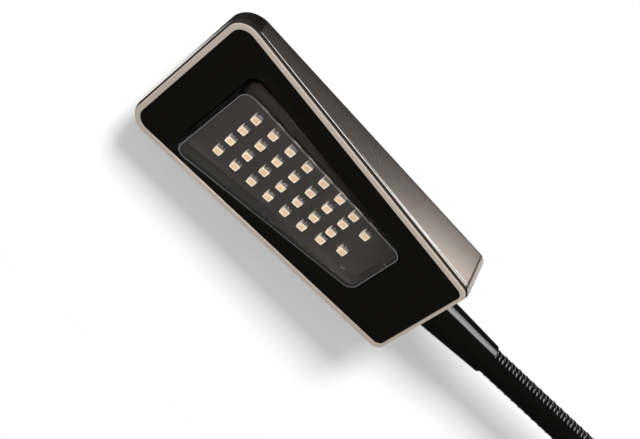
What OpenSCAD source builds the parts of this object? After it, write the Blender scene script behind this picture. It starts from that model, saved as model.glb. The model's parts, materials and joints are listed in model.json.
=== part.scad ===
// Flexible reading light on a wall base, in millimetres.
// The wall is the plane Y = 0, the light stands out towards -Y, and the neck rises along +Z.
// The origin is the middle of the base plate's wall face.

/* [Head] */
// Length of the housing from the neck end to the free end
head_len = 117; // [108:0.5:130]
// Width of the front panel at the neck end
panel_neck_w = 44.2; // [40:0.2:52]
// Width of the front panel at the free end
panel_free_w = 64.3; // [58:0.2:74]
// Depth of the housing at the neck end, measured across the neck's axis
head_depth = 17.7; // [16.8:0.1:22]
// Slope of the front face against the neck's axis
front_slope = 5.75; // [4.5:0.05:6]
// Thickness of the housing's walls
head_wall = 2; // [1.6:0.1:2.6]
// Thickness of the housing's back
head_back = 1.6; // [1.2:0.1:2]
// How far the housing stands out past the panel at the sides and the free end
head_margin = 3.3; // [3:0.1:4.5]
// Corner radius of the housing at the free end
head_free_r = 8.5; // [6:0.5:12]
// Corner radius of the housing at the neck end
head_neck_r = 2.8; // [2.6:0.1:4]

/* [Front] */
// How far the bezel stands out past the panel
bezel_margin = 2.1; // [1.8:0.1:2.4]
// How far the bezel reaches under the panel
bezel_ledge = 1.2; // [0.8:0.1:1.6]
// Thickness of the bezel's ledge
ledge_t = 1.1; // [0.8:0.1:1.4]
// How far the bezel stands proud of the panel
bezel_raise = 0.3; // [0:0.05:0.6]
// How far the housing's edge lies below the panel's face
edge_drop = 0.6; // [0.3:0.1:1]
// Thickness of the front panel
panel_t = 1.8; // [1.4:0.1:2]
// Corner radius of the panel at the free end
panel_free_r = 5; // [3:0.5:8]
// Corner radius of the panel at the neck end
panel_neck_r = 1.7; // [1.2:0.1:3]

/* [Lens] */
// Width of the lens cover at the neck end
lens_neck_w = 28.7; // [26:0.1:31]
// Width of the lens cover at the free end
lens_free_w = 43.6; // [40:0.2:48]
// Distance of the lens cover from the housing's neck end
lens_start = 22.6; // [21:0.2:26]
// Length of the lens cover
lens_len = 77; // [74:0.5:80]
// Height of the lens cover's face above the neck's axis
lens_face = 6.6; // [6:0.1:7.4]
// Wall of the lens cover
lens_wall = 1.5; // [1.2:0.1:2]
// Thickness of the lens cover's face
lens_top = 1.8; // [1.4:0.1:2.2]
// Corner radius of the lens cover
lens_r = 4.5; // [3.5:0.5:6]
// Width of the lens cover's flange
flange_w = 3; // [2.8:0.1:3.4]
// Thickness of the lens cover's flange
flange_t = 1.2; // [0.8:0.1:1.4]

/* [Light source] */
// Height of the board's face above the neck's axis
board_face = 0.7; // [0.4:0.1:1.2]
// Thickness of the board
board_t = 1.6; // [1:0.2:2]
// Thickness of the thermal pad
pad_t = 0.5; // [0.3:0.1:0.8]
// Width of one light package, across the head
led_w = 3.5; // [3:0.1:4]
// Length of one light package, along the head
led_l = 2.8; // [2.4:0.1:3.2]
// Height of one light package
led_h = 1.9; // [1.4:0.1:2.2]
// Side of the square window in a light package
window_w = 2.2; // [1.8:0.1:2.3]
// Distance between the rows of light packages
row_pitch = 7.6; // [7:0.1:7.8]
// Distance between light packages in a full row
column_pitch = 7.3; // [6.6:0.1:7.6]
// Distance of the first row from the lens cover's free end
first_row = 11; // [9.5:0.5:12.5]

/* [Neck] */
// Outer diameter of the gooseneck
neck_d = 10.2; // [9.4:0.1:10.6]
// Diameter of the gooseneck's round wire
wire_d = 2.5; // [2.2:0.1:2.6]
// Distance between two turns of the wire
wire_pitch = 3.4; // [3.2:0.05:3.8]
// Length of the neck between the two collars
neck_len = 270; // [240:5:300]
// Number of bending points along the neck
neck_joints = 10; // [8:1:10]
// Bend of each point to either side, in degrees
bend_range = 25; // [15:1:26]
// Diameter of the sheathed lead inside the neck
lead_d = 4.6; // [4.2:0.1:4.7]
// Gap round the ball end of each lead section
ball_gap = 0.3; // [0.2:0.05:0.4]

/* [Neck fittings] */
// Length of a collar
collar_len = 27; // [22:0.5:32]
// Diameter of a collar at its foot
collar_foot_d = 14.3; // [13.8:0.1:15]
// Diameter of a collar at its mouth
collar_mouth_d = 11.6; // [11.4:0.1:12.4]
// Depth to which the gooseneck enters a collar
seat_depth = 4; // [3:0.5:6]
// Diameter of the ferrule's thread
thread_d = 7; // [6.4:0.1:7.4]
// Thickness of the ferrule's head
ferrule_head_t = 3; // [2:0.5:4]
// Thickness of the washers
washer_t = 0.8; // [0.6:0.1:1]
// Outer diameter of the washers
washer_d = 12; // [11:0.5:12.5]
// Width of the nuts across their flats
nut_af = 10; // [9.4:0.1:10.4]
// Thickness of the nuts
nut_t = 3; // [2:0.5:3.5]

/* [Base] */
// Width of the base
base_w = 60; // [58:1:80]
// Height of the base
base_h = 92; // [90:1:120]
// Depth of the base
base_d = 26; // [26:0.5:32]
// Corner radius of the base
base_r = 6; // [5:0.5:10]
// Thickness of the base cover's walls
base_wall = 2; // [1.8:0.1:2.6]
// Width of the nickel rim round the base panel
base_rim = 3.4; // [3:0.2:6]
// Thickness of the base panel
base_panel_t = 1.5; // [1:0.1:2]
// Distance of the neck's axis from the wall
neck_y = 13; // [12.6:0.1:13.4]
// Thickness of the wall plate
plate_t = 2; // [1.5:0.1:2.5]
// Distance between the fixing holes, across
fix_x = 38; // [34:1:42]
// Distance between the fixing holes, up and down
fix_z = 68; // [66:1:72]
// Diameter of the fixing holes
fix_d = 4.4; // [3.6:0.1:5.2]

/* [Switch] */
// Height of the switch below the middle of the base
switch_drop = 24; // [22:0.5:25]
// Diameter of the button
button_d = 10; // [9:0.5:11]
// Travel of the button
button_travel = 1.6; // [1:0.1:2]
// Outer diameter of the switch's threaded bush
bush_d = 14; // [13.6:0.1:15]
// Radial running clearance of the button in its bush
button_clear = 0.08; // [0.05:0.01:0.1]

/* [Clearances] */
// Clearance round parts that drop into a recess
fit_gap = 0.15; // [0.1:0.05:0.2]
// Clearance of screws and threads in their holes, on the diameter
hole_gap = 0.4; // [0.2:0.1:0.6]

/* [Hidden] */
$fn = 64;
big = 400;
// A sloped side starts this far inside its round corner, so that they join without a sliver
corner_bite = 0.003;

// Front face: the head's own frame has its origin where the neck's axis meets the end wall.
// There +Z runs to the free end, and the light side is -Y, so a height above the axis is -Y.
neck_edge = 1.7;
free_edge = head_len - 2.8;
head_half = head_depth / 2;
head_bottom = -head_half;
front_at_neck = head_half + 0.1;
taper = atan((panel_free_w - panel_neck_w) / 2 / (free_edge - neck_edge));
bezel_depth = panel_t + ledge_t;
rebate_depth = bezel_depth;
floor_y = head_half - head_back;

// Lens and light source
lens_end = lens_start + lens_len;
flange_low = -(floor_y - 2.6);
spreader_base_t = floor_y + flange_low;
board_inset = lens_wall + 0.3;
pedestal_inset = board_inset + 1.4;
lens_taper = atan((lens_free_w - lens_neck_w) / 2 / lens_len);
lens_screw_d = 2;
lens_screw_head_d = 2.7;
lens_screw_neck = 6;
lens_screw_free = 18;
back_screw_x = 8;
back_screw_neck = 12;
back_screw_free = 16;
channel_w = 6;
channel_l = 8;
screw_d = 3;
screw_head_t = 1.5;
screw_grip = 3.5;
// Places across each row, in units of the column pitch: the last rows close up
LED_ROWS = [
  for (i = [0 : 4]) [-1.5, -0.5, 0.5, 1.5],
  [-1.44, -0.5, 0.5, 1.44],
  [-1.25, -0.45, 0.45, 1.25],
  [-0.85, 0.85]
];

// Neck
base_top = base_h / 2;
neck_start = base_top + collar_len;
neck_end = neck_start + neck_len;
head_z = neck_end + collar_len;
joint_step = neck_len / neck_joints;
joint_z = [for (i = [0 : neck_joints - 1]) neck_start + (i + 0.5) * joint_step];
RINGS = 8;
SIDES = 6;
wire_r = wire_d / 2;
wire_flat = wire_r * cos(180 / SIDES);
coil_r = neck_d / 2 - wire_r;
coil_low = neck_start - seat_depth + wire_flat;
coil_high = neck_end + seat_depth - wire_flat;
coil_rings = round((coil_high - coil_low) / wire_pitch * RINGS);
ring_step = (coil_high - coil_low) / coil_rings;
// The coil is cut at the bending points, at these rings
coil_cuts = concat([0], [for (z = joint_z) round((z - coil_low) / ring_step)], [coil_rings]);

// Ferrules, washers and nuts, and the wires past them
ferrule_head_d = neck_d;
mouth_bore = neck_d + 2 * fit_gap;
ferrule_tip = head_wall + washer_t + nut_t + 1;
lead_bore = lead_d + hole_gap;
lead_over = 0.5;
core_r = 0.55;
core_x = 0.85;
CORE_SIDES = 8;

// Base
front_y = -base_d;
plate_gap = 0.2;
pocket_y = front_y + base_panel_t;
inner_front_y = pocket_y + base_wall;
standoff_h = 4;
driver_t = 1.6;
driver_y = -plate_t - standoff_h;
driver_face = driver_y - driver_t;
driver_w = 44;
driver_top = 21;
driver_low = -11;
driver_hole = 2.6;
driver_inset = 3;
tab_t = 3;
tab_h = 9;
grommet_x = -(base_w / 2 - 14);
grommet_z = -(base_h / 2 - 25);
grommet_d = 8;

// Switch, on its own axis: the button comes out along -Y
button_r = button_d / 2;
bush_bore = button_r + button_clear;
bush_flange_t = 1.2;
bush_flange_r = bush_d / 2 + 2;
bush_len = 9;
button_out = button_travel + 0.9;
shoulder_t = 1.2;
shoulder_r = button_r + 0.8;
bush_step = 3;
button_rest = 0.1;
body_r = bush_d / 2;
body_len = 5;
switch_back_y = front_y + bush_len + body_len;
spring_wire = 0.7;
spring_r = button_r - 1.6;

// A flat outline in X and Z, made solid from y0 to y1
module plate_y(y0, y1) {
  translate([0, y1, 0]) rotate([90, 0, 0]) linear_extrude(y1 - y0) children();
}
// A cylinder from y along -Y
module rod_y(y, d, h) {
  translate([0, y, 0]) rotate([90, 0, 0]) cylinder(d = d, h = h);
}

// Trapezoid with round corners: half widths at z0 and z1, radii there, grown by m all round
module tapered_outline(z0, half0, z1, half1, r0, r1, m = 0) {
  t = atan((half1 - half0) / (z1 - z0));
  low = z0 - m;
  high = z1 + m;
  ra = max(r0 + m, 0.3);
  rb = max(r1 + m, 0.3);
  side = half0 - z0 * tan(t) + m / cos(t);
  xa = side + (low + ra) * tan(t) - ra / cos(t);
  xb = side + (high - rb) * tan(t) - rb / cos(t);
  ia = ra - corner_bite;
  ib = rb - corner_bite;
  right = [
    [xa, low], [xa + ia * cos(t), low + ra - ia * sin(t)],
    [xb + ib * cos(t), high - rb - ib * sin(t)], [xb, high]
  ];
  polygon(concat(right, [for (i = [3 : -1 : 0]) [-right[i][0], right[i][1]]]));
  for (s = [-1, 1]) {
    translate([s * xa, low + ra]) circle(ra);
    translate([s * xb, high - rb]) circle(rb);
  }
}

// Everything that lies deeper than the given depth under the sloped front face
module behind_front(depth) {
  translate([0, -front_at_neck, 0])
    rotate([-front_slope, 0, 0])
      translate([-big / 2, depth, -big / 2]) cube(big);
}

// The panel, grown by m at the sides and the free end, and by neck_m at the neck end
module panel_outline(m = 0, neck_m = 0) {
  shift = m - neck_m;
  tapered_outline(neck_edge + shift, panel_neck_w / 2 + shift * tan(taper), free_edge,
    panel_free_w / 2, panel_neck_r, panel_free_r, m);
}

module housing_outline(inset = 0) {
  m = head_margin - inset;
  side0 = panel_neck_w / 2 - neck_edge * tan(taper);
  t = taper;
  tapered_outline(inset, side0 + inset * tan(t) + m / cos(t), head_len - inset,
    side0 + (head_len - inset) * tan(t) + m / cos(t), max(head_neck_r - inset, 0.5), head_free_r - inset);
}

module bezel_outline(m = 0) {
  s = bezel_margin;
  low = 0.35;
  high = free_edge + s;
  side0 = panel_neck_w / 2 - neck_edge * tan(taper) + s / cos(taper);
  tapered_outline(low, side0 + low * tan(taper), high, side0 + high * tan(taper),
    head_neck_r - 0.3, head_free_r - 1.5, m);
}

module lens_outline(m = 0) {
  tapered_outline(lens_start, lens_neck_w / 2, lens_end, lens_free_w / 2, lens_r, lens_r, m);
}

// Where the four screws of the lens flange stand: in the middle of its sides
module at_lens_screws() {
  for (s = [-1, 1], z = [lens_screw_neck, lens_len - lens_screw_free]) {
    half = lens_neck_w / 2 + z * tan(lens_taper);
    translate([s * (half + flange_w / 2 / cos(lens_taper)), 0, lens_start + z]) children();
  }
}

// Where the four screws through the housing's back stand
module at_housing_screws() {
  for (s = [-1, 1], z = [lens_start + back_screw_neck, lens_end - back_screw_free])
    translate([s * back_screw_x, 0, z]) children();
}

module head_housing() {
  color([0.72, 0.68, 0.64]) difference() {
    intersection() {
      plate_y(-2 * head_half, head_half) housing_outline();
      behind_front(edge_drop);
    }
    plate_y(-2 * head_half, floor_y) housing_outline(head_wall);
    intersection() {
      difference() {
        plate_y(-2 * head_half, floor_y) bezel_outline(fit_gap);
        behind_front(rebate_depth);
      }
      translate([-big / 2, -big / 2, 0.35 - fit_gap]) cube(big);
    }
    cylinder(d = thread_d + hole_gap, h = 3 * head_wall, center = true);
    at_housing_screws() {
      rod_y(head_half + 1, screw_d + hole_gap, 2 * head_back + 1);
      translate([0, head_half + 0.01, 0]) rotate([90, 0, 0])
        cylinder(d1 = 2 * screw_d + hole_gap, d2 = screw_d, h = screw_head_t);
    }
  }
}

module front_bezel() {
  color([0.78, 0.71, 0.64]) difference() {
    intersection() {
      plate_y(-2 * head_half, floor_y) bezel_outline();
      behind_front(-bezel_raise);
    }
    behind_front(bezel_depth);
    difference() {
      plate_y(-2 * head_half, floor_y) panel_outline(fit_gap, fit_gap);
      behind_front(panel_t);
    }
    plate_y(-2 * head_half, floor_y) panel_outline(-bezel_ledge, fit_gap);
  }
}

module front_panel() {
  color([0.06, 0.06, 0.055]) difference() {
    intersection() {
      plate_y(-2 * head_half, floor_y) panel_outline();
      behind_front(0);
    }
    behind_front(panel_t);
    plate_y(-3 * head_half, head_half) lens_outline(fit_gap);
  }
}

// The lens block stands on a flange; a notch in its neck end lets the wires in
module lens_cover() {
  color([0.8, 0.82, 0.85, 0.35]) difference() {
    union() {
      plate_y(-lens_face, -flange_low) lens_outline();
      plate_y(-flange_low - flange_t, -flange_low) lens_outline(flange_w);
    }
    plate_y(-lens_face + lens_top, -flange_low + 1) lens_outline(-lens_wall);
    at_lens_screws() rotate([90, 0, 0])
      cylinder(d = lens_screw_d + hole_gap, h = big, center = true);
    translate([-channel_w / 2, -flange_low - 3.2, lens_start - 2 * flange_w])
      cube([channel_w, 5, 4 * flange_w]);
  }
}

module lens_screws() {
  seat_y = -flange_low - flange_t;
  grip = spreader_base_t - 0.6;
  color("silver") at_lens_screws() {
    rod_y(seat_y, lens_screw_head_d, 0.9);
    rod_y(-flange_low + grip, lens_screw_d, grip + flange_t + 0.3);
  }
}

module led_board() {
  color([0.25, 0.24, 0.23])
    plate_y(-board_face, board_t - board_face) lens_outline(-board_inset);
}

// One call of the child for each light package, on the board's face
module at_leds() {
  for (i = [0 : len(LED_ROWS) - 1], c = LED_ROWS[i])
    translate([c * column_pitch, -board_face, lens_end - first_row - i * row_pitch]) children();
}

module led_packages() {
  recess = 0.35;
  color([0.93, 0.9, 0.8]) at_leds() difference() {
    translate([-led_w / 2 + 0.25, -led_h, -led_l / 2]) cube([led_w - 0.5, led_h, led_l]);
    translate([-window_w / 2, -led_h - 1, -window_w / 2]) cube([window_w, 1 + recess, window_w]);
  }
}

module led_windows() {
  color([0.9, 0.75, 0.52]) at_leds()
    translate([-window_w / 2, -led_h + 0.05, -window_w / 2]) cube([window_w, 0.3, window_w]);
}

module led_leads() {
  lead_w = 0.8;
  color("silver") at_leds() for (s = [-1, 1], z = [-0.72, 0.72])
    translate([s > 0 ? led_w / 2 - 0.25 : -led_w / 2, -led_h * 0.55, z - lead_w / 2])
      cube([0.25, led_h * 0.55, lead_w]);
}

module thermal_pad() {
  color([0.75, 0.77, 0.8]) difference() {
    plate_y(board_t - board_face, board_t - board_face + pad_t) lens_outline(-pedestal_inset);
    wire_channel();
  }
}

// Room for the two head wires under the board's neck end
module wire_channel() {
  translate([-channel_w / 2, -1, lens_start - 1]) cube([channel_w, floor_y - 1.6, channel_l + 1]);
}

module heat_spreader() {
  top = board_t - board_face + pad_t;
  color([0.8, 0.8, 0.82]) difference() {
    union() {
      plate_y(-flange_low, floor_y) lens_outline(flange_w);
      plate_y(top, -flange_low) lens_outline(-pedestal_inset);
    }
    wire_channel();
    at_lens_screws() rotate([90, 0, 0]) cylinder(d = lens_screw_d, h = big, center = true);
    at_housing_screws() rod_y(head_half, screw_d, head_back + screw_grip + 0.5);
  }
}

module housing_screws() {
  socket_d = 1.8;
  color("silver") at_housing_screws() difference() {
    union() {
      translate([0, head_half, 0]) rotate([90, 0, 0])
        cylinder(d1 = 2 * screw_d, d2 = screw_d - hole_gap, h = screw_head_t);
      rod_y(head_half - 1, screw_d, head_back + screw_grip - 1);
    }
    translate([0, head_half + 0.1, 0]) rotate([90, 0, 0]) cylinder(d = socket_d, h = 1, $fn = 6);
  }
}

// Tapered sleeve that stands on its foot at z = 0, with the neck's seat in its mouth
module collar() {
  foot_r = collar_foot_d / 2;
  mouth_r = collar_mouth_d / 2;
  bore = (thread_d + hole_gap) / 2;
  seat_z = collar_len - seat_depth - ferrule_head_t;
  soft = 0.5;
  color([0.03, 0.03, 0.03]) rotate_extrude() polygon([
    [bore, 0], [foot_r, 0], [mouth_r, collar_len - soft - 0.6], [mouth_r + 0.1, collar_len - soft],
    [mouth_r - soft + 0.1, collar_len], [mouth_bore / 2, collar_len], [mouth_bore / 2, seat_z],
    [bore, seat_z]
  ]);
}

// Threaded tube with a head, in the collar's frame: it reaches through the wall below z = 0
module ferrule() {
  head_low = collar_len - seat_depth - ferrule_head_t;
  color([0.78, 0.62, 0.32]) rotate_extrude() polygon([
    [lead_bore / 2, -ferrule_tip], [thread_d / 2, -ferrule_tip], [thread_d / 2, head_low],
    [ferrule_head_d / 2, head_low], [ferrule_head_d / 2, head_low + ferrule_head_t],
    [lead_bore / 2, head_low + ferrule_head_t]
  ]);
}

module washer() {
  color("silver") translate([0, 0, -head_wall - washer_t]) difference() {
    cylinder(d = washer_d, h = washer_t);
    translate([0, 0, -1]) cylinder(d = thread_d + hole_gap, h = washer_t + 2);
  }
}

module nut() {
  color([0.8, 0.8, 0.78]) translate([0, 0, -head_wall - washer_t - nut_t]) difference() {
    cylinder(d = nut_af / cos(30), h = nut_t, $fn = 6);
    translate([0, 0, -1]) cylinder(d = thread_d + 0.04, h = nut_t + 2);
  }
}

// The fittings at the base look up, and those at the head look down
module at_base_end() {
  translate([0, -neck_y, base_top]) children();
}
module at_head_end() {
  translate([0, -neck_y, head_z]) rotate([180, 0, 0]) children();
}
module at_head() {
  translate([0, -neck_y, head_z]) children();
}

// Rings of points round a path, and the closed tube through them. The path never runs along
// the direction across, and spare points at both ends only give its direction there.
function ring_frame(path, i, across) =
  let (n = len(path) - 1,
    d = path[min(i + 1, n)] - path[max(i - 1, 0)],
    t = d / norm(d),
    a = cross(across, t) / norm(cross(across, t)))
  [a, cross(t, a)];
module tube(path, r, sides, across, spare = 0) {
  n = len(path) - 2 * spare;
  points = [for (i = [0 : n - 1], s = [0 : sides - 1])
    let (f = ring_frame(path, i + spare, across), w = 360 * s / sides)
    path[i + spare] + r * (cos(w) * f[0] + sin(w) * f[1])];
  walls = [for (i = [0 : n - 2], s = [0 : sides - 1], half = [0, 1])
    let (q = (s + 1) % sides, a = i * sides, b = a + sides)
    half == 0 ? [a + s, b + s, b + q] : [a + s, b + q, a + q]];
  low_cap = [for (s = [1 : sides - 2]) [0, s, s + 1]];
  e = (n - 1) * sides;
  high_cap = [for (s = [1 : sides - 2]) [e, e + s + 1, e + s]];
  polyhedron(points, concat(walls, low_cap, high_cap), convexity = 10);
}

// Points first to last of a coil that starts at z = low and rises by step with each point
function coil_path(first, last, r, low, step) =
  [for (i = [first : last]) let (a = 360 * i / RINGS) [r * cos(a), r * sin(a), low + step * i]];
// Least clear distance between two turns of a coil, measured on its points
function least_gap(path, w) =
  min([for (i = [0 : len(path) - 1 - RINGS], k = [RINGS - 2 : RINGS + 2])
    if (i + k < len(path)) norm(path[i + k] - path[i]) - w]);

module neck_coil(i) {
  path = coil_path(coil_cuts[i] - 1, coil_cuts[i + 1] + 1, coil_r, coil_low, ring_step);
  echo(str("neck coil ", i + 1, ": least gap to itself ", least_gap(path, wire_d), " mm"));
  color([0.04, 0.04, 0.04]) translate([0, -neck_y, 0]) tube(path, wire_r, SIDES, [0, 0, 1], spare = 1);
}

// Lead sections end in a ball on one bending point and a cup round the last one
module neck_lead(i) {
  r = lead_d / 2;
  first = i == 0;
  last = i == neck_joints;
  low = first ? base_top - ferrule_tip - lead_over : joint_z[i - 1];
  high = last ? head_z + ferrule_tip + lead_over : joint_z[i];
  color([0.12, 0.12, 0.13]) translate([0, -neck_y, 0]) difference() {
    union() {
      translate([0, 0, low]) cylinder(r = r, h = high - low);
      if (!last) translate([0, 0, high]) sphere(r);
    }
    if (!first) translate([0, 0, low]) sphere(r + ball_gap);
  }
}

// The two wires leave the lead's end and run through the channel to the board's underside
module head_wires() {
  start = ferrule_tip + lead_over;
  under = board_t - board_face;
  pad_z = lens_start + 5.3;
  for (s = [-1, 1]) {
    x = s * 1.3;
    color(s < 0 ? [0.7, 0.1, 0.1] : [0.1, 0.1, 0.1])
      tube([
        [s * core_x, 0, start], [s * core_x, 0, start + 1.5], [s * core_x, 0.6, start + 4],
        [x, 1.8, start + 8], [x, 2.6, lens_start - 1], [x, 2.6, pad_z - 2.3],
        [x, 2.2, pad_z - 0.8], [x, 1.6, pad_z], [x, under, pad_z]
      ], core_r, CORE_SIDES, [1, 0, 0]);
  }
}

// Rounded rectangle of the base, set in from its outline
module base_outline(inset = 0) {
  tapered_outline(-base_h / 2 + inset, base_w / 2 - inset, base_h / 2 - inset, base_w / 2 - inset,
    max(base_r - inset, 1), max(base_r - inset, 1));
}

module at_fixings() {
  for (x = [-1, 1], z = [-1, 1]) translate([x * fix_x / 2, 0, z * fix_z / 2]) children();
}

module at_driver_holes() {
  for (x = [-1, 1], z = [driver_low + driver_inset, driver_top - driver_inset])
    translate([x * (driver_w / 2 - driver_inset), 0, z]) children();
}

module base_plate() {
  tab_x = base_w / 2 - base_wall - plate_gap - tab_t;
  color([0.7, 0.72, 0.74]) difference() {
    union() {
      plate_y(-plate_t, 0) base_outline(base_wall + plate_gap);
      at_driver_holes() rod_y(-plate_t, 5, standoff_h);
      for (s = [-1, 1])
        translate([s > 0 ? tab_x : -tab_x - tab_t, -plate_t - tab_h, -4]) cube([tab_t, tab_h, 8]);
    }
    at_fixings() rod_y(1, fix_d, plate_t + 2);
    at_driver_holes() rod_y(-plate_t, driver_hole - hole_gap, standoff_h + 1);
    translate([grommet_x, 0, grommet_z]) rod_y(1, grommet_d, plate_t + 2);
    translate([0, -plate_t - tab_h / 2, 0]) rotate([0, 90, 0])
      cylinder(d = screw_d, h = base_w, center = true);
  }
}

module base_cover() {
  panel_inset = base_rim - fit_gap;
  color([0.72, 0.68, 0.64]) difference() {
    plate_y(front_y, 0) base_outline();
    plate_y(inner_front_y, 1) base_outline(base_wall);
    plate_y(front_y - 1, pocket_y) base_outline(panel_inset);
    translate([0, 0, -switch_drop]) rod_y(0, bush_d + hole_gap, base_d + 1);
    at_base_end() cylinder(d = thread_d + hole_gap, h = 3 * base_wall, center = true);
    translate([0, -plate_t - tab_h / 2, 0]) rotate([0, 90, 0])
      cylinder(d = screw_d + hole_gap, h = base_w + 2, center = true);
  }
}

module base_panel() {
  color([0.06, 0.06, 0.055]) difference() {
    plate_y(front_y, pocket_y) base_outline(base_rim);
    translate([0, 0, -switch_drop]) rod_y(0, bush_d + hole_gap, base_d + 1);
  }
}

module cover_screws() {
  head_h = 0.4 * screw_d;
  grip = base_wall + plate_gap + tab_t;
  color("silver") for (s = [-1, 1])
    translate([0, -plate_t - tab_h / 2, 0]) rotate([0, 90 * s, 0]) difference() {
      union() {
        translate([0, 0, base_w / 2]) cylinder(d = 5 / 3 * screw_d, h = head_h);
        translate([0, 0, base_w / 2 - grip]) cylinder(d = screw_d, h = grip + head_h / 2);
      }
      translate([0, 0, base_w / 2 + head_h / 3]) cylinder(d = 2 / 3 * screw_d, h = head_h, $fn = 6);
    }
}

module cable_grommet() {
  lip = 1;
  bore = 5;
  color([0.1, 0.1, 0.1]) translate([grommet_x, 0, grommet_z]) rotate([90, 0, 0]) rotate_extrude()
    polygon([
      [bore / 2, 0], [grommet_d / 2, 0], [grommet_d / 2, plate_t], [grommet_d / 2 + lip, plate_t],
      [grommet_d / 2 + lip, plate_t + lip], [bore / 2, plate_t + lip]
    ]);
}

module driver_board() {
  color([0.1, 0.35, 0.2]) difference() {
    translate([-driver_w / 2, driver_face, driver_low])
      cube([driver_w, driver_t, driver_top - driver_low]);
    at_driver_holes() rod_y(0, driver_hole, base_d);
  }
}

// Coil, capacitor, driver chip, rectifier and sense resistor, all on the board's face
module driver_parts() {
  color([0.15, 0.15, 0.17]) {
    translate([-11, 0, 13]) rod_y(driver_face, 9, 7);
    translate([10, 0, 12]) rod_y(driver_face, 6.3, 9);
    translate([-3, driver_face - 1.6, 8]) cube([6, 1.6, 5]);
    translate([9, driver_face - 2.2, -4]) cube([7, 2.2, 4]);
    translate([3, driver_face - 1.2, 1]) cube([3, 1.2, 1.6]);
  }
}

module driver_screws() {
  head_h = 1.4;
  grip = standoff_h - 0.6;
  color("silver") at_driver_holes() {
    rod_y(driver_face, 4.4, head_h);
    rod_y(driver_y + grip, driver_hole - hole_gap, grip + driver_t + 0.5);
  }
}

// Two ways, each with a screw well in the front and a wire entry from below
module terminal_block() {
  way = 5.1;
  block_x = -16.4;
  block_h = 8;
  block_l = 7.6;
  low = driver_low + driver_inset;
  entry = 2.6;
  color([0.1, 0.4, 0.25]) difference() {
    translate([block_x, driver_face - block_h, low]) cube([2 * way, block_h, block_l]);
    for (i = [0.5, 1.5]) translate([block_x + i * way, 0, low]) {
      translate([0, 0, block_l / 2]) rod_y(driver_face - block_h + 1.5, 2.8, 3);
      translate([-entry / 2, driver_face - 1.4 - entry, -1]) cube([entry, entry, 6]);
    }
  }
}

// One pair joins the board to the neck's lead, the other pair the switch to the board
module base_wires() {
  tip = base_top - ferrule_tip - lead_over;
  out_z = 17.5;
  tag_z = -switch_drop + 1;
  pad_z = -7;
  for (s = [-1, 1]) {
    color(s < 0 ? [0.7, 0.1, 0.1] : [0.1, 0.1, 0.1]) tube([
      [s * 3, driver_face, out_z], [s * 3, driver_face - 0.8, out_z],
      [s * 2.9, driver_face - 2, out_z + 0.9], [s * 2.4, driver_face - 3.6, out_z + 3.5],
      [s * 1.6, 0.6 - neck_y, out_z + 8.5], [s * core_x, 0.1 - neck_y, tip - 5],
      [s * core_x, -neck_y, tip - 2.5], [s * core_x, -neck_y, tip]
    ], core_r, CORE_SIDES, [1, 0, 0]);
    x = s * 4;
    color([0.85, 0.85, 0.85]) tube([
      [x, switch_back_y, tag_z], [x, switch_back_y + 0.9, tag_z],
      [x, switch_back_y + 1.6, tag_z + 1.6], [x, switch_back_y + 1, tag_z + 6],
      [x, driver_face - 3.4, pad_z - 7], [x, driver_face - 3, pad_z - 1.6],
      [x, driver_face - 2, pad_z - 0.4], [x, driver_face - 0.8, pad_z], [x, driver_face, pad_z]
    ], core_r, CORE_SIDES, [1, 0, 0]);
  }
}

// The switch's pieces turn about the Y axis: r, then distance behind the base's front
module at_switch() {
  translate([0, front_y, -switch_drop]) rotate([-90, 0, 0]) children();
}

module switch_bush() {
  color([0.75, 0.73, 0.7]) at_switch() rotate_extrude() polygon([
    [bush_bore, -bush_flange_t], [bush_flange_r, -bush_flange_t], [bush_flange_r, 0],
    [bush_d / 2, 0], [bush_d / 2, bush_len], [shoulder_r + 0.15, bush_len],
    [shoulder_r + 0.15, bush_step], [bush_bore, bush_step]
  ]);
}

module switch_nut() {
  start = base_panel_t + base_wall;
  color("silver") at_switch() translate([0, 0, start]) difference() {
    cylinder(d = (bush_d + 3.4) / cos(30), h = 2.4, $fn = 6);
    translate([0, 0, -1]) cylinder(d = bush_d + 0.04, h = 5);
  }
}

module switch_body() {
  stem = 1.6;
  color([0.16, 0.16, 0.17]) at_switch() difference() {
    union() {
      translate([0, 0, bush_len]) cylinder(r = body_r, h = body_len);
      translate([0, 0, bush_len - stem]) cylinder(r = spring_r - spring_wire / 2 - 0.3, h = stem);
    }
    translate([0, 0, bush_len + 1.5]) cylinder(r = 0.8, h = body_len);
  }
}

module switch_button() {
  dish = 0.4;
  face = -bush_flange_t - button_out;
  step = bush_step + button_rest;
  color([0.05, 0.05, 0.05]) at_switch() rotate_extrude() polygon([
    [0, face + dish], [button_r - 2, face + dish], [button_r - 1.2, face], [button_r - 0.3, face],
    [button_r, face + 0.3], [button_r, step], [shoulder_r, step], [shoulder_r, step + shoulder_t],
    [0, step + shoulder_t]
  ]);
}

module switch_spring() {
  pitch = 1.3;
  flat = spring_wire / 2 * cos(180 / SIDES);
  low = bush_step + button_rest + shoulder_t + flat;
  high = bush_len - flat;
  rings = round((high - low) / pitch * RINGS);
  path = coil_path(0, rings, spring_r, low, (high - low) / rings);
  echo(str("switch spring: least gap to itself ", least_gap(path, spring_wire), " mm"));
  color("silver") at_switch() tube(path, spring_wire / 2, SIDES, [0, 0, 1]);
}

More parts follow.
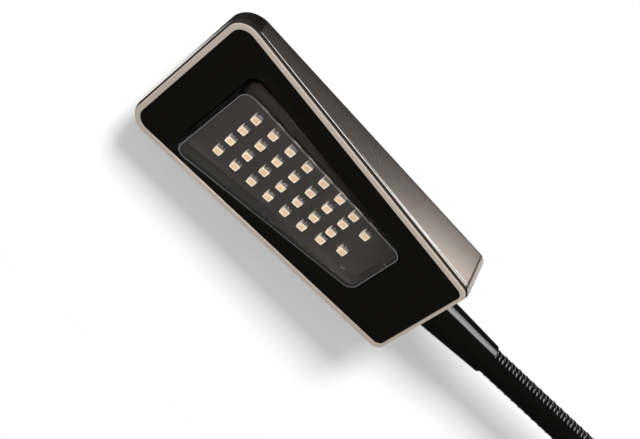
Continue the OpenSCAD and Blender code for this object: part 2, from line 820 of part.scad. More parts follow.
at_head() head_housing();
at_head() front_bezel();
at_head() front_panel();
at_head() lens_cover();
at_head() lens_screws();
at_head() led_board();
at_head() led_packages();
at_head() led_windows();
at_head() led_leads();
at_head() thermal_pad();
at_head() heat_spreader();
at_head() housing_screws();
at_head_end() collar();  // head_collar
at_head_end() ferrule();  // head_ferrule
at_head_end() washer();  // head_washer
at_head_end() nut();  // head_nut
at_head() head_wires();
for (i = [0 : neck_joints]) {
  neck_coil(i);
  neck_lead(i);
}
at_base_end() collar();  // base_collar
at_base_end() ferrule();  // base_ferrule
at_base_end() washer();  // base_washer
at_base_end() nut();  // base_nut
base_cover();
base_panel();
base_plate();
cover_screws();
cable_grommet();
driver_board();
driver_parts();
driver_screws();
terminal_block();
base_wires();
switch_bush();
switch_nut();
switch_body();
switch_button();
switch_spring();
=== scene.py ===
# %% [markdown]
# # A flexible reading light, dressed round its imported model
#
# The light is a flat wedge of a head on a gooseneck, and the gooseneck stands on a small box
# that is screwed to a wall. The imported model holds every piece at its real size. This script
# keeps the hidden pieces as they are, gives each of them a finish, and makes the pieces that
# the eye rests on again, with the small radii and the wound wire that catch the light.

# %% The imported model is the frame
import bmesh
import bpy
import json
import math
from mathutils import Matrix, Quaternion, Vector

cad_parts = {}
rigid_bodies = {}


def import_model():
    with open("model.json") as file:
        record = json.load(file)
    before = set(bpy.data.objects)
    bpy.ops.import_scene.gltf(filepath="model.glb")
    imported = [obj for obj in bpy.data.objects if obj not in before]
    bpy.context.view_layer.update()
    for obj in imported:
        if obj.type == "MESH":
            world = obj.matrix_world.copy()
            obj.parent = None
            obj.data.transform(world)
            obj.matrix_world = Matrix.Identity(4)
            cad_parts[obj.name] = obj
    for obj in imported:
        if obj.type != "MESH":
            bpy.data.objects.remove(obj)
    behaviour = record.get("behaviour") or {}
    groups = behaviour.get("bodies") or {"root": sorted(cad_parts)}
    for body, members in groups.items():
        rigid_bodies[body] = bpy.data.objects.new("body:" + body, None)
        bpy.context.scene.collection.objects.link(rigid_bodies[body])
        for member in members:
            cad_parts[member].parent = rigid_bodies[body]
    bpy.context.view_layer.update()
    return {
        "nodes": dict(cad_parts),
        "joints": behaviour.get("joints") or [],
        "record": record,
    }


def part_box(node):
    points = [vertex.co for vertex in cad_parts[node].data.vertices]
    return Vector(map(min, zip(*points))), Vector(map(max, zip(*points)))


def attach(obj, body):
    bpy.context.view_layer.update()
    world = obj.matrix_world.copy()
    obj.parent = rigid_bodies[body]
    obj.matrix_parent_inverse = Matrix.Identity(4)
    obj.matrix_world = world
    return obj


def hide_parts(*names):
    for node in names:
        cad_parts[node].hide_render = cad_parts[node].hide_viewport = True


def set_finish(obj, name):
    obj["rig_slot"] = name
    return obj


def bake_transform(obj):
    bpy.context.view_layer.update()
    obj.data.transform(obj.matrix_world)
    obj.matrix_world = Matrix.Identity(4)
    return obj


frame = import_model()
slot_of = {row["node"]: row["material_slot"] for row in frame["record"]["subparts"]}
mm = 0.001

# %% [markdown]
# ## The camera
#
# The photograph was taken with a long lens, from the right, the front and a little above, and
# the camera was rolled so that the head lies from the upper left to the lower right. A camera
# is placed by a point, a direction that it looks along and a roll about that direction. That
# is easier to read than three turn angles.

# %% Camera
camera_place = Vector((384.1, -405.1, 544.1)) * mm
looks_along = Vector((-0.68709, 0.69167, -0.22249))
camera_roll = math.radians(-47.2)
turn = looks_along.to_track_quat("-Z", "Y") @ Quaternion((0, 0, 1), camera_roll)
bpy.ops.object.camera_add(location=camera_place, rotation=turn.to_euler())
camera = bpy.context.object
camera.name = "camera"
camera.data.sensor_width = 36
camera.data.lens = 95.63
bpy.context.scene.camera = camera
bpy.context.scene.view_settings.view_transform = "Standard"
print("camera looks down by", round(math.degrees(math.asin(-looks_along.z)), 1), "degrees")

# %% [markdown]
# ## Places that the other cells use
#
# Everything is worked out from the frame: the neck's axis is the middle of the coil, the head
# begins where the head collar ends, and the bending points are the joints of the model. The
# front of the head slopes against the neck's axis, so it gets a direction of its own.

# %% Places
coil_low, coil_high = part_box("neck_coil_1")[0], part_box("neck_coil_11")[1]
axis_y = (coil_low.y + coil_high.y) / 2
head_low, head_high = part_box("head_housing")
head_z, head_end, back_y = head_low.z, head_high.z, head_high.y
base_low, base_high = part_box("base_cover")
front_slope = math.radians(5.75)
front = Vector((0, -math.cos(front_slope), math.sin(front_slope)))
front_foot = Vector((0, axis_y - 8.95 * mm, head_z))
bends = [j for j in frame["joints"] if j["name"].startswith("neck_bend")]
print("head from", round(head_z / mm), "to", round(head_end / mm), "mm, bends:", len(bends))


def on_front(depth):
    """A point of the plane that lies this deep under the panel's face."""
    return front_foot - front * depth


# %% [markdown]
# ## Modelling as by hand
#
# Blender's operators act on whatever is selected in the active object. The helpers here take
# a piece up, select its corners, edges or faces by a test on their place, and put it down
# again, so that no operator reaches a piece that it isn't meant for.

# %% Taking a piece up and putting it down
def put_down():
    """Leaves edit mode and selects nothing."""
    active = bpy.context.view_layer.objects.active
    if active and active.mode == "EDIT":
        bpy.ops.object.mode_set(mode="OBJECT")
    bpy.ops.object.select_all(action="DESELECT")


def hold(piece):
    """Selects one piece alone and makes it the active one."""
    put_down()
    piece.select_set(True)
    bpy.context.view_layer.objects.active = piece


def take_up(piece):
    """Holds one piece and opens it in edit mode."""
    hold(piece)
    bpy.ops.object.mode_set(mode="EDIT")


def named(name):
    """Names the new primitive, moves its place into its mesh and opens it in edit mode."""
    piece = bpy.context.object
    piece.name = piece.data.name = name
    bpy.ops.object.transform_apply(location=True, rotation=True, scale=True)
    bpy.ops.object.mode_set(mode="EDIT")
    bpy.ops.mesh.select_mode(type="VERT")
    bpy.ops.mesh.select_all(action="SELECT")
    return piece


def select(kind, test):
    """Selects the corners or the faces that pass the test, and nothing else."""
    bpy.ops.mesh.select_mode(type=kind)
    bpy.ops.mesh.select_all(action="DESELECT")
    mesh = bmesh.from_edit_mesh(bpy.context.object.data)
    parts = {"VERT": mesh.verts, "FACE": mesh.faces}[kind]
    for part in [p for p in parts if test(p)]:
        part.select_set(True)
    bmesh.update_edit_mesh(bpy.context.object.data)


def push(value):
    """Extrudes what is selected and moves it by the given way."""
    bpy.ops.mesh.extrude_region_move(TRANSFORM_OT_translate={"value": tuple(value)})


def slice_off(point, facing):
    """Cuts the piece at a plane, takes away the side that the plane faces and closes the cut."""
    bpy.ops.mesh.select_all(action="SELECT")
    bpy.ops.mesh.bisect(plane_co=point, plane_no=facing, use_fill=True, clear_outer=True)


def face_on(point, facing):
    """A test for the faces that lie in a plane and look along its direction."""
    return lambda f: f.normal.dot(facing) > 0.999 and all(
        abs((v.co - point).dot(facing)) < 0.02 * mm for v in f.verts
    )


def face_at(y, facing):
    """The same test for the flat faces at a depth that look to the room (-1) or the wall (1)."""
    return face_on(Vector((0, y, 0)), Vector((0, facing, 0)))


def round_edges(width, steps, slot=-1):
    """Rounds the edges that are selected; the new faces may take a slot of their own."""
    bpy.ops.mesh.bevel(affect="EDGES", offset=width, segments=steps, profile=0.5, material=slot)


def bound_of(test):
    """Selects the edges round the faces that pass the test."""
    select("FACE", test)
    bpy.ops.mesh.region_to_loop()


def close_ends():
    """Fills the open rings of the piece."""
    bpy.ops.mesh.select_mode(type="EDGE")
    bpy.ops.mesh.select_all(action="DESELECT")
    bpy.ops.mesh.select_non_manifold()
    bpy.ops.mesh.fill_holes(sides=0)


def apply_all(piece):
    """Applies every modifier of the piece, in their order."""
    hold(piece)
    for m in list(piece.modifiers):
        bpy.ops.object.modifier_apply(modifier=m.name)


def polish(piece, angle=35):
    """Smooths the shading over the small radii and keeps the large faces flat."""
    hold(piece)
    bpy.ops.object.shade_smooth_by_angle(angle=math.radians(angle))
    piece.modifiers.new("flat faces", "WEIGHTED_NORMAL").keep_sharp = True
    apply_all(piece)
    return piece


def drill(piece, cutters):
    """Takes the cutters' shape out, throws the cutters away and closes any sliver left open."""
    for cutter in cutters:
        tool = piece.modifiers.new("drill", "BOOLEAN")
        tool.object, tool.operation, tool.solver = cutter, "DIFFERENCE", "EXACT"
    apply_all(piece)
    for cutter in cutters:
        bpy.data.objects.remove(cutter)
    take_up(piece)
    bpy.ops.mesh.select_all(action="SELECT")
    bpy.ops.mesh.fill_holes(sides=4)
    put_down()


def rod(centre, radius, length, along="Y", end_radius=None):
    """A plain cutter: a cylinder, or a cone where the second radius differs."""
    put_down()
    turn = {"X": (0, math.pi / 2, 0), "Y": (-math.pi / 2, 0, 0), "Z": (0, 0, 0)}[along]
    bpy.ops.mesh.primitive_cone_add(
        vertices=48, radius1=radius, radius2=end_radius or radius,
        depth=length, location=centre, rotation=turn,
    )
    cutter = bpy.context.object
    bpy.ops.object.transform_apply(location=True, rotation=True, scale=True)
    return cutter


# %% [markdown]
# ## A plate with round corners
#
# The housing, the bezel, the panel, the lens and the base all begin as the same flat shape: a
# trapezoid with a radius at each corner. It is a plane, stretched to size, with its far end
# resized and its corners rounded by a corner bevel. A bevel's width is measured along the
# edge, so the radius is turned into that width with the corner's half angle.

# %% Rounded plate
def rounded_plate(name, low, high, half_low, half_high, r_low, r_high, y, steps):
    """A flat trapezoid that looks to the front. Half widths and radii at its low and high end."""
    put_down()
    middle = (0, y, (low + high) / 2)
    bpy.ops.mesh.primitive_plane_add(size=1, location=middle, rotation=(math.pi / 2, 0, 0))
    piece = named(name)
    bpy.ops.transform.resize(value=(2 * half_low, 1, high - low), center_override=middle)
    select("VERT", lambda v: v.co.z > middle[2])
    bpy.ops.transform.resize(value=(half_high / half_low, 1, 1), center_override=middle)
    lean = math.atan((half_high - half_low) / (high - low))
    for upper, radius in ((True, r_high), (False, r_low)):
        corner = math.pi / 2 + (-lean if upper else lean)
        select("VERT", lambda v: (v.co.z > middle[2]) == upper)
        bpy.ops.mesh.bevel(
            affect="VERTICES", offset=radius / math.tan(corner / 2), segments=steps, profile=0.5
        )
    bpy.ops.mesh.select_all(action="SELECT")
    return piece


# %% [markdown]
# ## The housing
#
# The housing is a thin tray of satin nickel, six millimetres deep at its free end and
# eighteen at the neck. It is made like a casting: the outline is pushed out from the back,
# the front is sliced off along the slope, the rim gets its polished edge, and then the inside
# is let in, first a shallow step for the bezel and then the room behind it.

# %% Housing
panel_lean = math.radians(5.105)
panel_half = 21.948 * mm


def head_half(z, margin):
    """Half width of the head's outline at a height, with a margin outside the panel's."""
    return panel_half + (z - head_z) * math.tan(panel_lean) + margin / math.cos(panel_lean)


rim_width, rim_edge, edge_drop, rebate, wall, floor_y = (
    v * mm for v in (1.05, 0.78, 0.6, 2.9, 2.0, -5.75)
)
outline, neck_corner, free_corner, past_front = (v * mm for v in (3.3, 4.2, 8.5, 20))
back_soft, past_floor = 1.2 * mm, 8 * mm
housing = rounded_plate(
    "housing", head_z, head_end, head_half(head_z, outline), head_half(head_end, outline),
    neck_corner, free_corner, back_y, 14,
)
push((0, -past_front, 0))
slice_off(on_front(edge_drop), front)
bound_of(face_at(back_y, 1))
round_edges(back_soft, 5)
for name in ("satin", "polished", "inside"):
    housing.data.materials.append(bpy.data.materials.new(name))
bound_of(face_on(on_front(edge_drop), front))
round_edges(rim_edge, 3, 1)
select("FACE", face_on(on_front(edge_drop), front))
bpy.ops.mesh.inset(thickness=rim_width - rim_edge)
push(-front * (rebate - edge_drop))
bpy.ops.mesh.inset(thickness=wall - rim_width)
housing.active_material_index = 2
bpy.ops.object.material_slot_assign()
push((0, past_floor, 0))
bpy.ops.transform.resize(value=(1, 0, 1), center_override=(0, floor_y, 0))
put_down()
print("housing, whole:", len(housing.data.polygons), "faces")

# %% [markdown]
# ## The holes in the housing
#
# Four countersunk screws come in from the back and hold the heat spreader. Each hole takes two
# cutters: a cone for the screw's head and a rod for its shank. The fifth hole, at the neck end,
# lets in the threaded tube of the gooseneck, which a nut holds from inside.

# %% Holes in the housing
screw_r, screw_head_r, sunk, neck_bore = (v * mm for v in (1.7, 3.2, 1.5, 3.7))
screw_places = [(x * mm, head_z + z * mm) for x in (-8, 8) for z in (34.6, 83.6)]
drill(housing, [
    rod((x, back_y - sunk / 2, z), screw_r, sunk + 0.02 * mm, end_radius=screw_head_r)
    for x, z in screw_places
] + [
    rod((x, back_y - sunk, z), screw_r, 4 * mm) for x, z in screw_places
] + [rod((0, axis_y, head_z + 1 * mm), neck_bore, 6 * mm, "Z")])
polish(housing)
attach(housing, "head")
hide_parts("head_housing")
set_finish(housing, "satin_nickel")
print("housing, drilled:", len(housing.data.polygons), "faces")

# %% [markdown]
# ## The bezel
#
# A flat champagne rim frames the black panel. On the real light it is a separate ring that
# drops into the housing's step: flat on top, with a fine outer chamfer that turns away from
# the light and carries a near-black painted shade for the gap round the ring, and a ledge
# underneath that carries the panel.

# %% Bezel
bezel_low, bezel_high = head_z + 0.35 * mm, head_end - 0.7 * mm
bezel_margin, bezel_top = 2.1 * mm, -0.3 * mm
bezel = rounded_plate(
    "bezel", bezel_low, bezel_high, head_half(bezel_low, bezel_margin),
    head_half(bezel_high, bezel_margin), 3.8 * mm, 7.0 * mm, floor_y, 14,
)
push((0, -past_front, 0))
slice_off(on_front(bezel_top), front)
slice_off(on_front(rebate), -front)
for name in ("flat", "edge"):
    bezel.data.materials.append(bpy.data.materials.new(name))
bound_of(face_on(on_front(bezel_top), front))
round_edges(0.4 * mm, 2)
# The chamfer and sides take the second slot: a near-black painted shade for the gap round the ring.
select("FACE", lambda f: abs(f.normal.dot(front)) < 0.3)
bezel.active_material_index = 1
bpy.ops.object.material_slot_assign()
put_down()
print("bezel, whole:", len(bezel.data.polygons), "faces")

# %% [markdown]
# ## The opening in the bezel
#
# From the front, the panel's outline is cut into the bezel with a fine gap round it. From
# behind, a smaller outline is cut out to meet it. What stays between the two, along the sides
# and at the free end, is the ledge that the panel rests on.

# %% Opening in the bezel
def panel_cutter(name, margin, neck_margin, near, far):
    """The panel's outline as a block between two depths under the front."""
    panel_low, panel_high, neck_r, free_r = (v * mm for v in (1.7, 114.2, 2.9, 5.0))
    low, high = head_z + panel_low - neck_margin, head_z + panel_high + margin
    block = rounded_plate(
        name, low, high, head_half(low, margin), head_half(high, margin),
        max(neck_r + margin, 0.4 * mm), free_r + margin, back_y, 10,
    )
    push((0, -30 * mm, 0))
    slice_off(on_front(near), front)
    slice_off(on_front(far), -front)
    put_down()
    return block


panel_gap, ledge_in = 0.15 * mm, 1.2 * mm
drill(bezel, [
    panel_cutter("opening", panel_gap, panel_gap, -2 * mm, 1.8 * mm),
    panel_cutter("ledge", -ledge_in, panel_gap, 1.5 * mm, 5 * mm),
])
polish(bezel)
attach(bezel, "head")
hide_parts("front_bezel")
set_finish(bezel, "champagne_rim")
print("bezel, opened:", len(bezel.data.polygons), "faces")

# %% [markdown]
# ## The lens
#
# The lens is one clear moulded block over the light board, open underneath, with rounded
# edges on its face. The rounded edges matter most: they bend the light into the thin bright
# lines that make it read as clear plastic. A narrow grey band round the face, a rougher ground
# edge, adds a painted highlight to those lines.

# %% Lens
lens_low, lens_high = head_z + 22.6 * mm, head_z + 99.6 * mm
lens_face_y, flange_y = axis_y - 6.6 * mm, axis_y + 4.65 * mm
lens_mm = {"length": 77, "half at neck": 14.35, "half at free end": 21.8, "corner": 4.5}
lens_soft, ground_band_width, lens_side, lens_front = (v * mm for v in (0.8, 0.14, 1.5, 1.8))
lens = rounded_plate(
    "lens", lens_low, lens_high, lens_mm["half at neck"] * mm, lens_mm["half at free end"] * mm,
    lens_mm["corner"] * mm, lens_mm["corner"] * mm, flange_y, 12,
)
push((0, lens_face_y - flange_y, 0))
bound_of(face_at(lens_face_y, -1))
round_edges(lens_soft, 4)
for name in ("clear", "ground", "hazy"):
    lens.data.materials.append(bpy.data.materials.new(name))
select("FACE", face_at(lens_face_y, -1))
lens.active_material_index = 2
bpy.ops.object.material_slot_assign()
# A narrow band round the face takes the second slot: a rougher grey ground edge whose colour paints
# a bright outline.
bpy.ops.mesh.bevel(offset=ground_band_width, segments=1, affect="EDGES", material=1)
select("FACE", face_at(flange_y, 1))
bpy.ops.mesh.inset(thickness=lens_side)
push((0, lens_face_y + lens_front - flange_y, 0))
put_down()
print("lens block:", len(lens.data.polygons), "faces")

# %% [markdown]
# ## The flange of the lens
#
# A flange runs round the foot of the lens, hidden behind the panel, and four small screws hold
# it down. The foot is marked off with a cut, its outer faces are pushed outwards, and the holes
# follow the slant of the sides.

# %% Lens flange
flange_wide, flange_thick, lens_screw_r = (v * mm for v in (3, 1.2, 1.2))
take_up(lens)
bpy.ops.mesh.select_all(action="SELECT")
flange_top = flange_y - flange_thick
lens_middle = Vector((0, 0, (lens_low + lens_high) / 2))
bpy.ops.mesh.bisect(plane_co=(0, flange_top, 0), plane_no=(0, 1, 0))
select("FACE", lambda f: abs(f.normal.y) < 0.01 and f.calc_center_median().y > flange_top
       and (f.calc_center_median() - lens_middle).dot(f.normal) > 0)
bpy.ops.mesh.extrude_region_shrink_fatten(TRANSFORM_OT_shrink_fatten={"value": flange_wide})
bpy.ops.mesh.select_all(action="SELECT")
bpy.ops.mesh.normals_make_consistent(inside=False)
put_down()
lens_holes = []
lens_lean = math.atan((lens_mm["half at free end"] - lens_mm["half at neck"]) / lens_mm["length"])
beside_lens = 1.5 / math.cos(lens_lean)
for side in (-1, 1):
    for z in (6, 59):
        x = side * (lens_mm["half at neck"] + z * math.tan(lens_lean) + beside_lens)
        lens_holes.append(rod((x * mm, flange_y, lens_low + z * mm), lens_screw_r, 6 * mm))
drill(lens, lens_holes)
polish(lens)
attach(lens, "head")
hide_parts("lens_cover")
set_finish(lens, "clear_lens")
print("lens, drilled:", len(lens.data.polygons), "faces")

# %% [markdown]
# ## Turned pieces
#
# The collars, the switch's bush and its button come off a lathe. In Blender a lathe is a ring
# that is pushed along its axis and resized again and again. The last ring meets the first,
# and the doubles are merged. A small bevel on the sharp rings stands for the lathe's broken
# edges.

# %% Turning
def turned(name, place, turn, rings, soft):
    """rings lists (distance along the axis, radius). A closed list makes a hollow piece."""
    put_down()
    z, r = rings[0]
    bpy.ops.mesh.primitive_circle_add(vertices=96, radius=r, location=(0, 0, z))
    piece = named(name)
    bpy.ops.mesh.select_all(action="SELECT")
    for z_next, r_next in rings[1:]:
        push((0, 0, z_next - z))
        bpy.ops.transform.resize(
            value=(r_next / r, r_next / r, 1), center_override=(0, 0, z_next)
        )
        z, r = z_next, r_next
    if rings[0] != rings[-1]:
        close_ends()
    bpy.ops.mesh.select_all(action="SELECT")
    bpy.ops.mesh.remove_doubles(threshold=0.001 * mm)
    bpy.ops.mesh.normals_make_consistent(inside=False)
    put_down()
    edge = piece.modifiers.new("broken edges", "BEVEL")
    edge.width, edge.segments, edge.limit_method = soft, 3, "ANGLE"
    edge.angle_limit = math.radians(25)
    apply_all(piece)
    piece.location, piece.rotation_euler = place, turn
    bpy.ops.object.transform_apply(location=True, rotation=True, scale=True)
    return polish(piece, 40)


# %% Collars
lathe_edge = 0.25 * mm


def collar(name, place, turn, body, node):
    """A tapered sleeve with broken edges; the gooseneck goes into its mouth."""
    length, foot, mouth, lip, seat, seat_r = (v * mm for v in (27, 7.15, 5.8, 0.55, 20, 5.25))
    piece = turned(name, place, turn, [
        (0, neck_bore), (0, foot), (length, mouth), (length, mouth - lip),
        (seat, seat_r), (seat, neck_bore), (0, neck_bore),
    ], lathe_edge)
    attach(piece, body)
    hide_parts(node)
    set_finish(piece, "black_lacquer")
    return piece


base_collar = collar("base_sleeve", (0, axis_y, base_high.z), (0, 0, 0), "base", "base_collar")
head_collar = collar("head_sleeve", (0, axis_y, head_z), (math.pi, 0, 0), "head", "head_collar")
print("collars:", len(base_collar.data.polygons), "faces each")

# %% [markdown]
# ## The gooseneck
#
# A gooseneck is two springs wound together: a round wire, and a thinner wedge wire pressed
# into the groove between its turns. The two wires grip each other, so the neck stays where it
# is bent. A Screw modifier winds each wire from its cross-section. The neck is cut into one
# piece for each bending point. The same helper winds any wire, so the switch's spring uses it
# too.

# %% Wires
wire_r, pitch, half_stretch = (v * mm for v in (1.25, 3.4, 13.5))
wire_sides, turn_steps = 14, 28
wind_r = 5.1 * mm - wire_r
wind_start = coil_low.z
cut_z = [coil_low.z] + [j["pos_m"][2] + half_stretch for j in bends[:-1]] + [coil_high.z]


def coil(name, corners, length, rise, steps, place, turn):
    """One wire, wound from its cross-section, which lists (radius, height) of each corner."""
    put_down()
    bpy.ops.mesh.primitive_circle_add(vertices=len(corners), radius=1)
    piece = named(name)
    put_down()
    for vertex, (r, z) in zip(piece.data.vertices, corners):
        vertex.co = (r, 0, z)
    winding = piece.modifiers.new("winding", "SCREW")
    winding.angle = 2 * math.pi * length / rise
    winding.screw_offset = length
    winding.steps = winding.render_steps = round(steps * length / rise)
    winding.use_merge_vertices = False
    apply_all(piece)
    take_up(piece)
    close_ends()
    bpy.ops.mesh.select_all(action="SELECT")
    bpy.ops.mesh.normals_make_consistent(inside=False)
    hold(piece)
    piece.location, piece.rotation_euler = place, turn
    bpy.ops.object.transform_apply(location=True, rotation=True, scale=True)
    bpy.ops.object.shade_smooth_by_angle(angle=math.radians(50))
    return piece


def wound(name, corners, low, high, turn_by=0.0):
    """A stretch of one of the neck's two wires."""
    turned_to = turn_by + 2 * math.pi * (low - wind_start) / pitch
    return coil(name, corners, high - low, pitch, turn_steps, (0, axis_y, low), (0, 0, turned_to))


def ring_corners(middle, radius, sides):
    """A round wire's cross-section."""
    angles = [2 * math.pi * k / sides for k in range(sides)]
    return [(middle + radius * math.cos(a), radius * math.sin(a)) for a in angles]


wedge = [(3.75, -0.3), (4.2, -0.44), (4.6, -0.66), (4.82, -0.8), (4.92, -0.7),
         (4.92, 0.7), (4.82, 0.8), (4.6, 0.66), (4.2, 0.44), (3.75, 0.3)]
wedge_corners = [(r * mm, z * mm) for r, z in wedge]
wire_corners = ring_corners(wind_r, wire_r, wire_sides)
neck_pieces = []
for i, joint in enumerate(bends):
    low = cut_z[i] + (wire_r if i == 0 else 0)
    high = cut_z[i + 1] - (wire_r if i == len(bends) - 1 else 0)
    round_wire = wound(f"gooseneck_wire_{i + 1}", wire_corners, low, high)
    wedge_wire = wound(f"gooseneck_wedge_{i + 1}", wedge_corners, low, high, math.pi)
    nodes = [f"neck_coil_{i + 1}"] + (["neck_coil_11"] if i == len(bends) - 1 else [])
    z = joint["pos_m"][2]
    for piece in (round_wire, wedge_wire):
        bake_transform(piece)
        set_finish(piece, "black_lacquer")
    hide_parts(*nodes)
    neck_pieces += [round_wire, wedge_wire]
print("gooseneck:", sum(len(p.data.polygons) for p in neck_pieces), "faces")

# %% [markdown]
# ## The lead inside the neck
#
# The lead is a plain round sheath that nobody sees while the neck is whole. It is cut like the
# wires, at the same places. A cylinder has rings only at its ends, so each stretch gets eleven
# cuts more along its length.

# %% Lead
lead_r, lead_cuts = 2.3 * mm, 12
lead_ends = [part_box("neck_lead_1")[0].z] + cut_z[1:-1] + [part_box("neck_lead_11")[1].z]
for i, joint in enumerate(bends):
    put_down()
    low, high = lead_ends[i], lead_ends[i + 1]
    bpy.ops.mesh.primitive_cylinder_add(
        vertices=20, radius=lead_r, depth=high - low, location=(0, axis_y, (low + high) / 2)
    )
    lead = named(f"lead_{i + 1}")
    for k in range(1, lead_cuts):
        bpy.ops.mesh.select_all(action="SELECT")
        cut = low + (high - low) * k / lead_cuts
        bpy.ops.mesh.bisect(plane_co=(0, 0, cut), plane_no=(0, 0, 1))
    hold(lead)
    bpy.ops.object.shade_smooth_by_angle(angle=math.radians(40))
    z = joint["pos_m"][2]
    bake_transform(lead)
    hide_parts(f"neck_lead_{i + 1}", *(["neck_lead_11"] if i == len(bends) - 1 else []))
    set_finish(lead, "lead_sheath")
print("lead pieces:", len(bends))

# %% [markdown]
# ## The base
#
# The base repeats the head: a satin nickel shell with a gloss black plate let into its front.
# It is the same rounded plate, pushed out from the wall, with a shallow pocket in front and a
# deep room behind. Three rods cut the holes: for the switch in front, for the neck on top and
# for the two screws at the sides.

# %% Base cover
base_w = base_high.x - base_low.x
switch_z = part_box("switch_button")[0].z + 5.8 * mm
base_rim, base_soft, pocket, base_corner = (v * mm for v in (3.25, 1.0, 1.5, 6))
switch_hole_r = 7.2 * mm
cover = rounded_plate("base_shell", base_low.z, base_high.z, base_w / 2, base_w / 2,
                      base_corner, base_corner, base_high.y, 10)
push((0, base_low.y - base_high.y, 0))
bound_of(face_at(base_low.y, -1))
round_edges(base_soft, 4)
select("FACE", face_at(base_low.y, -1))
bpy.ops.mesh.inset(thickness=base_rim - base_soft)
push((0, pocket, 0))
select("FACE", face_at(base_high.y, 1))
bpy.ops.mesh.inset(thickness=wall)
push((0, base_low.y + pocket + wall - base_high.y, 0))
put_down()
screw_y = base_high.y - 6.5 * mm
drill(cover, [
    rod((0, base_low.y, switch_z), switch_hole_r, 20 * mm),
    rod((0, axis_y, base_high.z), neck_bore, 8 * mm, "Z"),
    rod((0, screw_y, 0), screw_r, base_w + 4 * mm, "X"),
])
polish(cover)
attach(cover, "base")
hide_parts("base_cover")
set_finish(cover, "satin_nickel")
print("base shell:", len(cover.data.polygons), "faces")

# %% [markdown]
# ## The plate in the base's front
#
# On the real lamp this is a cut piece of black acrylic, glued into the pocket. It is made apart
# from the shell, because the fine gap round it is what tells the eye that it is another part.
# The front edge is broken by a quarter of a millimetre, so that it catches a line of light.

# %% Base panel
panel_in, panel_corner = 3.4 * mm, 2.6 * mm
plate = rounded_plate("base_plate_front", base_low.z + panel_in, base_high.z - panel_in,
                      base_w / 2 - panel_in, base_w / 2 - panel_in, panel_corner, panel_corner,
                      base_low.y + pocket, 8)
push((0, -pocket, 0))
bound_of(face_at(base_low.y, -1))
round_edges(0.25 * mm, 2)
put_down()
drill(plate, [rod((0, base_low.y, switch_z), switch_hole_r, 20 * mm)])
polish(plate)
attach(plate, "base")
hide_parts("base_panel")
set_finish(plate, "gloss_black")
print("base plate:", len(plate.data.polygons), "faces")

# %% [markdown]
# ## The switch
#
# A push switch has three parts that show: a nickel bush, screwed into the shell from the
# front, a button that slides in it, and the spring that pushes the button out. Bush and button
# are turned on a lathe, so each is a profile swept round the axis. The spring is wound.

# %% Switch
to_front = (math.pi / 2, 0, 0)
bush = turned("switch_ring", (0, base_low.y, switch_z), to_front, [
    (z * mm, r * mm) for z, r in (
        (1.2, 5.08), (1.2, 9), (0, 9), (0, 7), (-9, 7), (-9, 5.95), (-3, 5.95), (-3, 5.08),
        (1.2, 5.08))
], lathe_edge)
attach(bush, "base")
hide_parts("switch_bush")
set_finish(bush, "nickel_ring")
button = turned("button", (0, base_low.y, switch_z), to_front, [
    (z * mm, r * mm) for z, r in (
        (3.3, 0.4), (3.3, 3), (3.7, 3.8), (3.7, 4.7), (3.4, 5), (-3.1, 5), (-3.1, 5.8),
        (-4.3, 5.8), (-4.3, 0.4))
], 0.12 * mm)
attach(button, "button")
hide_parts("switch_button")
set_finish(button, "button_black")
spring_low, spring_high = (v.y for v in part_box("switch_spring"))
spring_r, spring_wire, spring_rise, play = (v * mm for v in (3.4, 0.345, 1.3, 0.01))
spring = coil("spring", ring_corners(spring_r, spring_wire, 10),
              spring_high - spring_low - 2 * (spring_wire + play), spring_rise, 24,
              (0, spring_low + spring_wire + play, switch_z), (-math.pi / 2, 0, 0))
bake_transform(spring)
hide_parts("switch_spring")
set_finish(spring, slot_of["switch_spring"])
print("switch:", ", ".join(piece.name for piece in (bush, button, spring)))

# %% [markdown]
# ## Finishes
#
# A finish is more than a colour. Even a smooth part has a fine grain in its surface, a shine
# that isn't the same everywhere, and a colour that drifts a little. One node group makes all
# three from the place on the piece, and every material takes it with its own values: grain
# size in millimetres, how far the grain is drawn out along an axis, and how much the colour
# and the shine may change. Three small helpers come first. They add a node with its inputs,
# start a node group, and turn a noise into an amount that goes up and down round nothing.

# %% Node helpers
def add(tree, kind, inputs=None, **settings):
    """Adds a shader node. An input's value is a number or the socket that feeds it."""
    made = tree.nodes.new("ShaderNode" + kind)
    for key, value in settings.items():
        setattr(made, key, value)
    for key, value in (inputs or {}).items():
        if isinstance(value, bpy.types.NodeSocket):
            tree.links.new(value, made.inputs[key])
        else:
            made.inputs[key].default_value = value
    return made


def new_group(name, inputs, outputs):
    """An empty node group with its sockets, its input node and its output node."""
    group = bpy.data.node_groups.new(name, "ShaderNodeTree")
    for label, kind, value in inputs:
        socket = group.interface.new_socket(
            label, in_out="INPUT", socket_type="NodeSocket" + kind
        )
        socket.default_value = value
    for label, kind in outputs:
        group.interface.new_socket(label, in_out="OUTPUT", socket_type="NodeSocket" + kind)
    taken = group.nodes.new("NodeGroupInput").outputs
    return group, taken, group.nodes.new("NodeGroupOutput").inputs


def centred(tree, noise, amount):
    """A noise that runs from minus the amount to plus the amount."""
    middle = add(tree, "Math", {0: noise, 1: 0.5}, operation="SUBTRACT")
    double = add(tree, "Math", {0: middle.outputs[0], 1: 2.0}, operation="MULTIPLY")
    return add(tree, "Math", {0: double.outputs[0], 1: amount}, operation="MULTIPLY").outputs[0]


# %% [markdown]
# ## One surface for every material
#
# The group takes the place on the piece and reads two noises there: a fine one, which is the
# grain that brushing, moulding or spraying leaves, and a broad one, the slow drift that
# handling leaves. It gives back a colour, a roughness and a height, and no more than that. The
# shading itself stays in each material, where it can be baked.

